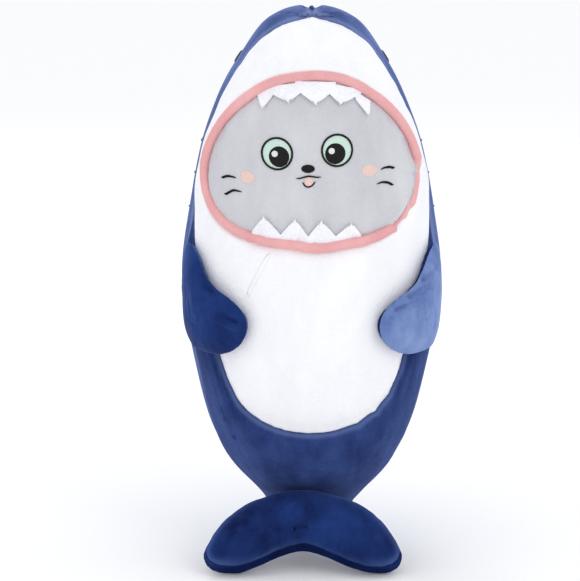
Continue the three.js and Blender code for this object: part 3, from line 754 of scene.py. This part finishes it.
felt = felt_finish("white_felt")
teeth = [("tooth_upper_%d" % i, -1) for i in range(1, 6)] + [("tooth_lower_%d" % i, 1) for i in range(1, 5)]
for tooth, way in teeth:
    corners = np.array([v.co for v in nodes[tooth].data.vertices])
    tip_z = corners[:, 2].min() if way < 0 else corners[:, 2].max()
    tip_x = corners[np.abs(corners[:, 2] - tip_z) < 0.6 * MM][:, 0].mean()
    low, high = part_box(tooth)
    root = corners[np.abs(corners[:, 2] - tip_z) > 0.45 * (high.z - low.z)]
    left = root[root[:, 0].argmin()]
    right = root[root[:, 0].argmax()]
    widen = (right[0] - left[0]) * (upper_spread if way < 0 else lower_spread)
    tuck = -way * tuck_under
    bm = bmesh.new()
    lines = []
    for row in range(tooth_rows + 1):
        t = row / tooth_rows
        line = []
        for column in range(tooth_columns + 1):
            u = column / tooth_columns
            x = left[0] - widen + (right[0] - left[0] + 2 * widen) * u
            z = left[2] + (right[2] - left[2]) * u + tuck
            narrow = 1 - 0.95 * max(0.0, t - tucked) / (1 - tucked)
            x = tip_x + (x - tip_x) * narrow
            z = z + (tip_z - z) * t - way * 1.2 * MM * t * t * (2 * u - 1) ** 2
            spot, out = on_front(x, z)
            curl = 0.5 * MM * noise.noise(Vector((x, 0, z)) / (9 * MM))
            rise = (0.7 + 2.6 * t**1.6) * MM + curl
            line.append(bm.verts.new(spot + out * rise))
        lines.append(line)
    for a, b in zip(lines, lines[1:]):
        for k in range(tooth_columns):
            bm.faces.new((a[k], a[k + 1], b[k + 1], b[k]))
    bmesh.ops.recalc_face_normals(bm, faces=bm.faces)
    item = add_piece(tooth + "_felt", bm)
    if directions(item)[:, 1].mean() > 0:
        item.data.flip_normals()
    apply_modifier(item, "SOLIDIFY", thickness=felt_thickness, offset=1, use_rim=True)
    apply_modifier(item, "BEVEL", width=0.35 * MM, segments=2, limit_method="ANGLE", angle_limit=0.9)
    pick(item)
    bpy.ops.object.shade_smooth()
    item.data.materials.append(felt)
    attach(item, "body")
    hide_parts(tooth)


# ---- Embroidery ----
# The cat's face, the shark's eyes and its gills are satin stitched. Each is a low pad of thread
# laid side by side over the cloth, with rounded edges and a little shine.

thread_pitch = 0.5 * MM


def thread_finish(name, colour, turn=0.0, shine=0.3):
    """Threads laid side by side. turn is the way that they run, from level."""
    f = Finish(name)
    place = f.node("ShaderNodeTexCoord", output="Object")
    turned = f.node("ShaderNodeMapping", {}, {"Vector": place, "Rotation": (0, turn, 0)})
    waver = f.grain(place, 90, 2)
    ridges = f.node(
        "ShaderNodeTexWave",
        {"wave_type": "BANDS", "bands_direction": "Z"},
        {
            "Vector": turned,
            "Scale": 0.16 / thread_pitch,
            "Distortion": 1.2,
            "Detail": 1.5,
            "Detail Scale": 30,
        },
    )
    # The grooves between the threads are darkened: painted shade.
    groove_shade = tuple(c * 0.8 for c in dye(colour)[:3]) + (1,)
    laid = f.mix(f.steps(ridges, 0.05, 0.6), groove_shade, dye(colour))
    return f.finish(
        Base_Color=laid,
        Roughness=0.5 - 0.14 * ridges + 0.1 * waver,
        Normal=f.relief(ridges, 0.0005, 0.7),
        Specular_IOR_Level=shine,
        Sheen_Weight=0.04,
    )


def frame_of(node):
    """The middle of a stitched node, and the directions along, up and out of the cloth there."""
    low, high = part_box(node)
    middle = (low + high) / 2
    out = body_tree.find_nearest(middle)[1]
    if middle.y < -0.06 and "shark" not in node and "gill" not in node:
        out = Vector((0, -1, 0))
    along = Vector((0, 0, 1)).cross(out).normalized() * -1
    up = out.cross(along).normalized()
    return middle, along, up, out


def on_cloth(point, out):
    """Where a point lies on the cloth, looking straight at the stitched piece."""
    spot, way, _, _ = body_tree.ray_cast(point + out * 0.05, -out)
    if way.dot(out) < 0:
        way = -way
    return spot, way


def stitched_pad(node, radii, base, height, material, hole=0.0, places_round=56, rounds=7):
    """A round or oval pad of satin stitch. hole leaves its middle open, as a share of its radius."""
    middle, along, up, out = frame_of(node)
    radius_along, radius_up = radii
    bm = bmesh.new()
    profile = [hole + (1 - hole) * k / rounds for k in range(rounds + 1)]
    section = []
    for share in profile:
        across = (share - hole) / (1 - hole)
        if hole:
            crown = max(0.0, 1 - (2 * across - 1) ** 4) ** 0.5
        else:
            crown = max(0.0, 1 - across**8) ** 0.5
        section.append((share, base + height * (0.12 + 0.88 * crown)))
    section.append((profile[-1], base - 0.25 * MM))
    if hole:
        section.insert(0, (hole, base - 0.25 * MM))
    rings = []
    for share, lift in section:
        ring = []
        for k in range(places_round):
            turn = 2 * math.pi * k / places_round
            share = max(share, 0.02)
            ragged = 1.0
            if share > 0.95:
                ragged += 0.012 * noise.noise(Vector((9 * turn, share, middle.x * 50)))
            spot = middle + along * radius_along * share * ragged * math.cos(turn)
            spot = spot + up * radius_up * share * ragged * math.sin(turn)
            on, way = on_cloth(spot, out)
            ring.append(bm.verts.new(on + way * lift))
        rings.append(ring)
    for a, b in zip(rings, rings[1:]):
        for k in range(places_round):
            n = (k + 1) % places_round
            bm.faces.new((a[k], a[n], b[n], b[k]))
    if hole:
        a, b = rings[-1], rings[0]
        for k in range(places_round):
            n = (k + 1) % places_round
            bm.faces.new((a[k], a[n], b[n], b[k]))
    else:
        bm.faces.new(rings[0])
        bm.faces.new(rings[-1])
    bmesh.ops.recalc_face_normals(bm, faces=bm.faces)
    stitched_piece(bm, node, material)


def stitched_piece(bm, node, material):
    item = add_piece(node + "_stitching", bm)
    pick(item)
    bpy.ops.object.shade_smooth_by_angle(angle=math.radians(50))
    item.data.materials.append(material)
    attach(item, "body")
    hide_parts(node)


def stitched_line(node, widths, base, material, stitch=0.55 * MM):
    """A narrow bar of satin stitch. Its threads lie across it, each a little ridge of its own."""
    corners = np.array([v.co for v in nodes[node].data.vertices])
    spread = corners.max(0) - corners.min(0)
    axis = int(np.argmax(spread))
    order = corners[np.argsort(corners[:, axis])]
    stops = 8 if "gill" in node else 7
    cuts = np.linspace(order[0, axis], order[-1, axis], 2 * stops + 1)
    line = []
    for low, high in zip(cuts, cuts[1:]):
        near = order[(order[:, axis] >= low - 1e-6) & (order[:, axis] <= high + 1e-6)]
        if len(near):
            line.append(near.mean(0))
    line = np.array(line)
    line[1:-1] = (line[:-2] + 2 * line[1:-1] + line[2:]) / 4
    length = np.concatenate([[0], np.cumsum(np.linalg.norm(np.diff(line, axis=0), axis=1))])
    steps = max(int(length[-1] / (stitch / 2)), 8)
    at = np.linspace(0, length[-1], steps + 1)
    line = np.array([np.interp(at, length, line[:, k]) for k in range(3)]).T
    for _ in range(30):
        line[1:-1] = (line[:-2] + 2 * line[1:-1] + line[2:]) / 4
    bm = bmesh.new()
    rings = []
    for i, centre in enumerate(line):
        spot, out, _, _ = body_tree.find_nearest(Vector(centre))
        ahead = Vector(line[min(i + 1, steps)] - line[max(i - 1, 0)]).normalized()
        across = out.cross(ahead).normalized()
        share = i / steps
        wide = np.interp(share, [0, 0.5, 1], widths)
        wide *= min(1.0, (0.25 + 6 * min(share, 1 - share)))
        ridge = 1 + 0.16 * (1 if i % 2 else -1)
        ring = []
        for k in range(9):
            turn = math.pi * k / 8
            lift = base + (0.15 + 0.75 * math.sin(turn) ** 0.7) * MM * ridge
            ring.append(bm.verts.new(spot + across * wide * math.cos(turn) + out * lift))
        rings.append(ring)
    for a, b in zip(rings, rings[1:]):
        for k in range(9):
            n = (k + 1) % 9
            bm.faces.new((a[k], a[n], b[n], b[k]))
    bm.faces.new(rings[0])
    bm.faces.new(rings[-1])
    bmesh.ops.recalc_face_normals(bm, faces=bm.faces)
    stitched_piece(bm, node, material)


black_thread = thread_finish("black_thread", "#070708", 0.0, 0.25)
steep_black = thread_finish("black_thread_steep", "#070708", 0.9, 0.25)
mint_thread = thread_finish("mint_thread", "#def8ea", 0.4)
peach_thread = thread_finish("peach_thread", "#ffded4", 0.2)
white_thread = thread_finish("white_thread", "#fbfbfd", 0.0)


def half_sizes(node):
    low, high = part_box(node)
    return (high.x - low.x) / 2, (high.z - low.z) / 2


for side in ("left", "right"):
    rim = half_sizes("cat_eye_rim_" + side)
    inside = half_sizes("cat_iris_" + side)
    stitched_pad(
        "cat_eye_rim_" + side, rim, 0.2 * MM, 0.95 * MM, black_thread, inside[0] / rim[0], 72, rounds=6
    )
    stitched_pad("cat_iris_" + side, inside, 0.2 * MM, 0.75 * MM, mint_thread)
    stitched_pad("cat_pupil_" + side, half_sizes("cat_pupil_" + side), 0.95 * MM, 0.6 * MM, steep_black)
    glint = half_sizes("cat_glint_" + side)
    stitched_pad("cat_glint_" + side, glint, 1.5 * MM, 0.5 * MM, white_thread, places_round=28)
    wide, tall = half_sizes("cheek_" + side)
    stitched_pad("cheek_" + side, (wide, 0.8 * tall), 0.2 * MM, 0.7 * MM, peach_thread)
    tall = half_sizes("shark_eye_" + side)[1]
    stitched_pad("shark_eye_" + side, (9 * MM, tall), 0.2 * MM, 1.2 * MM, steep_black)
    tall = half_sizes("shark_glint_" + side)[1]
    stitched_pad("shark_glint_" + side, (2.2 * MM, tall), 1.4 * MM, 0.5 * MM, white_thread, places_round=24)
    for level in ("upper", "lower"):
        ends = (1.3 * MM, 1.2 * MM, 0.5 * MM)
        widths = ends if side == "left" else ends[::-1]
        stitched_line("whisker_%s_%s" % (level, side), widths, 0.1 * MM, black_thread)
    for number in (1, 2, 3):
        widths = (0.6 * MM, 1.3 * MM, 0.6 * MM)
        stitched_line("gill_%s_%d" % (side, number), widths, 0.1 * MM, black_thread)

stitched_pad("cat_nose", half_sizes("cat_nose"), 0.2 * MM, 1.2 * MM, black_thread)
wide, tall = half_sizes("cat_tongue")
stitched_pad("cat_tongue", (1.1 * wide, 1.25 * tall), 0.2 * MM, 0.6 * MM, peach_thread)
for line in ("cat_mouth_line", "cat_chin_line"):
    stitched_line(line, (0.7 * MM, 0.8 * MM, 0.7 * MM), 0.3 * MM, black_thread)


# ---- Stuffed fins ----
# Each fin is two blue plush panels sewn together round their edge, turned and stuffed, then sewn
# by its root to the body. The edge seam is shorter than the cloth, so the fin gathers along it.

def draw_in(item):
    """Presses a fin to the body's side, where it would stand out beyond it."""
    flank = 0.116
    pressed = 0.42
    points = places(item)
    beyond = np.maximum(np.abs(points[:, 0]) - flank, 0)
    points[:, 0] -= np.sign(points[:, 0]) * beyond * pressed
    put_places(item, points)


def nudge_out(item, back, front):
    """Keeps a fin outside the body cloth, and its front side clear of its back."""
    points = places(item)
    outward = directions(item)
    for i, p in enumerate(points):
        spot, out, _, _ = body_tree.find_nearest(Vector(p))
        gap = (Vector(p) - spot).dot(out)
        clear = back + (front - back) * max(0.0, outward[i] @ np.array(out))
        if gap < clear:
            points[i] = p + np.array(out) * (clear - gap)
    put_places(item, points)


def plump(item, tree, height, reach):
    """Swells the cloth between the seams."""
    rise = height * (1 - np.exp(-near_seam(item, tree)[1] / reach))
    put_places(item, places(item) + directions(item) * rise[:, None])


def roll_seam(item, tree, forward, inward, bulge, reach):
    """Turns the edge seam a little to the front, so that the back panel rolls round the edge."""
    points = places(item)
    outward = directions(item)
    faces = [face for face in item.data.polygons if face.material_index == 0]
    front = np.sum([np.array(face.normal) * face.area for face in faces], axis=0)
    front /= np.linalg.norm(front)
    distance = near_seam(item, tree)[1]
    facing = outward @ front
    level = outward - facing[:, None] * front
    level /= np.maximum(np.linalg.norm(level, axis=1, keepdims=True), 0.3)
    near = np.exp(-((distance / reach) ** 2))
    behind = np.exp(-(((distance - reach) / (0.8 * reach)) ** 2)) * np.clip(-2 * facing + 0.6, 0, 1)
    points += near[:, None] * (front * forward - level * inward)
    put_places(item, points + behind[:, None] * level * bulge)


def pleat(item, start, end, depth, width, bulge):
    """A fold pressed into the front of a fin, from one place to another, with a full roll under it."""
    points = places(item)
    outward = directions(item)
    first = np.array(start)
    line = np.array(end) - first
    flat = points[:, [0, 2]] - first
    along = np.clip((flat @ line) / (line @ line), 0, 1)
    offset = flat - along[:, None] * line
    across = np.array([-line[1], line[0]]) / np.linalg.norm(line)
    across *= 1 if across[1] > 0 else -1
    far = np.linalg.norm(offset, axis=1)
    fade = np.clip(1.15 - along, 0, 1) ** 0.6 * np.clip(0.4 - 2 * outward[:, 1], 0, 1)
    groove = np.exp(-((far / width) ** 2))
    roll = np.exp(-(((offset @ across + 1.9 * width) / (1.3 * width)) ** 2))
    roll *= np.exp(-((far / (4 * width)) ** 4))
    put_places(item, points + outward * ((bulge * roll - depth * groove) * fade)[:, None])


def edges_round(first, among):
    """The edges that run on from the first one, out of the ones given."""
    found = {first}
    grow = [first]
    while grow:
        for v in grow.pop().verts:
            for other in v.link_edges:
                if other in among and other not in found:
                    found.add(other)
                    grow.append(other)
    return found


def fill_hub(item):
    """Fills one round opening of a skin with quads and eases them. It is done in edit mode."""
    bpy.ops.mesh.select_all(action="DESELECT")
    live = bmesh.from_edit_mesh(item.data)
    open_edges = [e for e in live.edges if e.is_boundary]
    if not open_edges:
        return
    loop = edges_round(open_edges[0], set(open_edges))
    panel = open_edges[0].link_faces[0].material_index
    if len(loop) % 2:
        loop.add(bmesh.utils.edge_split(open_edges[0], open_edges[0].verts[0], 0.5)[0])
    for e in loop:
        e.select = True
    bmesh.update_edit_mesh(item.data)
    bpy.ops.mesh.fill_grid(span=len(loop) // 4, use_interp_simple=True)
    live = bmesh.from_edit_mesh(item.data)
    patch = [f for f in live.faces if f.select]
    for f in patch:
        f.material_index = panel
    rim = {v for f in live.faces if not f.select for v in f.verts}
    inner = {v for f in patch for v in f.verts} - rim
    for _ in range(12):
        bmesh.ops.smooth_vert(
            live,
            verts=[v for v in live.verts if v in inner],
            factor=0.5,
            use_axis_x=True,
            use_axis_y=True,
            use_axis_z=True,
        )
    bmesh.update_edit_mesh(item.data)


def fin_skin(fin):
    """The two panels of a fin as one closed skin, with even quads in place of the CAD fans."""
    bm = sewn_skin([fin + "_front_panel", fin + "_back_panel"], fin + "_filling")
    hubs = [v for v in bm.verts if len(v.link_faces) > 12]
    bmesh.ops.delete(bm, geom=hubs, context="VERTS")
    bmesh.ops.join_triangles(
        bm, faces=bm.faces, cmp_materials=True, angle_face_threshold=1.2, angle_shape_threshold=2.5
    )
    item = add_piece(fin + "_cloth", bm)
    pick(item)
    bpy.ops.object.mode_set(mode="EDIT")
    bpy.ops.mesh.select_mode(type="EDGE")
    for _ in range(2):
        fill_hub(item)
    live = bmesh.from_edit_mesh(item.data)
    if any(e.is_boundary for e in live.edges):
        close_holes(live)
        bmesh.update_edit_mesh(item.data)
    bpy.ops.mesh.select_all(action="SELECT")
    bpy.ops.mesh.normals_make_consistent(inside=False)
    bpy.ops.object.mode_set(mode="OBJECT")
    face_outward(item)
    apply_modifier(item, "SUBSURF", levels=3, render_levels=3)
    return item


# The fin blues: one blue cloth in lighter and darker copies, painted light and painted shade.
shaded_fin_blue = ("#0b2056", "#223f7f", "#7488bd")
shaded = ("#030f3c", "#12275f", "#1b3573")
lit = ("#4d66a2", "#8ca2d2", "#adbce0")
blue = ("#2c4075", "#5a6da6", "#8796c4")
shaded_fluke_blue = ("#04123f", "#1e3a79", "#5a72ad")
# Each fin's body, and the colours of its front and back panels: deep, pale and the painted highlight beside
# the seam. The blues are lit and shaded copies of one blue cloth: painted light and shade.
fins = {
    "pectoral_fin_left": ("left_pectoral_fin", shaded_fin_blue, shaded_fin_blue),
    "pectoral_fin_right": ("right_pectoral_fin", lit, shaded),
    "dorsal_fin": ("dorsal_fin", blue, blue),
    "tail_fluke": ("tail_fluke", shaded_fluke_blue, shaded),
}
# Where each fin bends: the place of its root seam.
root_seams = {joint["child"]: joint["pos_m"] for joint in frame["record"]["behaviour"]["joints"]}
# How far each edge seam is turned to the front and drawn in, how full the roll behind it is, and
# how far from the seam that is felt.
edges = {
    "pectoral_fin_left": (4 * MM, 2.5 * MM, 1.5 * MM, 6 * MM),
    "pectoral_fin_right": (5 * MM, 4 * MM, 2 * MM, 7 * MM),
    "dorsal_fin": (0, 0, 0, 5 * MM),
    "tail_fluke": (5 * MM, 5 * MM, 2.5 * MM, 8 * MM),
}
# The folds of each fin: from, to, depth, width and the fullness of the roll under it.
folds = {
    "pectoral_fin_left": [
        ((-0.074, 0.2565), (-0.09, 0.2628), 4.5 * MM, 2.6 * MM, 3 * MM),
        ((-0.0969, 0.283), (-0.1077, 0.2898), 3 * MM, 2.5 * MM, 1.5 * MM),
    ],
    "pectoral_fin_right": [
        ((0.1073, 0.293), (0.1213, 0.302), 4 * MM, 2.3 * MM, 2.5 * MM),
        ((0.0943, 0.279), (0.1143, 0.288), 4.5 * MM, 2.4 * MM, 3 * MM),
        ((0.0813, 0.268), (0.1033, 0.276), 4.5 * MM, 2.4 * MM, 3 * MM),
    ],
    "dorsal_fin": [],
    "tail_fluke": [],
}
for fin, (body, *colours) in fins.items():
    item = fin_skin(fin)
    stuff(
        item, seam_line(item), pressure=14.0, gather=0.16, reach=7 * MM, travel=5 * MM, frames=12
    )
    apply_modifier(item, "SUBSURF", levels=1, render_levels=1)
    seams = seam_line(item)
    plump(item, seams, 3 * MM, 12 * MM)
    apply_modifier(item, "SMOOTH", factor=0.5, iterations=10)
    roll_seam(item, seams, *edges[fin])
    apply_modifier(item, "SMOOTH", factor=0.5, iterations=3)
    seams = seam_line(item)
    soften(item, 30 * MM, 0.9 * MM, seed=len(fin))
    sink_seams(
        item,
        seams,
        depth=1.0 * MM,
        width=(3.4 if fin == "tail_fluke" else 1.8) * MM,
        pucker=0.6 * MM,
        pucker_size=7 * MM,
        pucker_reach=8 * MM,
    )
    for fold in folds[fin]:
        pleat(item, *fold)
    if "pectoral" in fin:
        draw_in(item)
        nudge_out(item, back=0.8 * MM, front=6 * MM)
        stuffing = bpy.data.objects[fin + "_stuffing"]
        draw_in(stuffing)
        nudge_out(stuffing, back=2.2 * MM, front=3.4 * MM)
    for number in range(2):
        item.data.materials.append(plush_finish("plush_%s_%d" % (fin, number), *colours[number]))
    pick(item)
    bpy.ops.object.shade_smooth()
    root = Vector(root_seams[body])
    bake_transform(item)
    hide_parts(fin + "_front_panel", fin + "_back_panel")
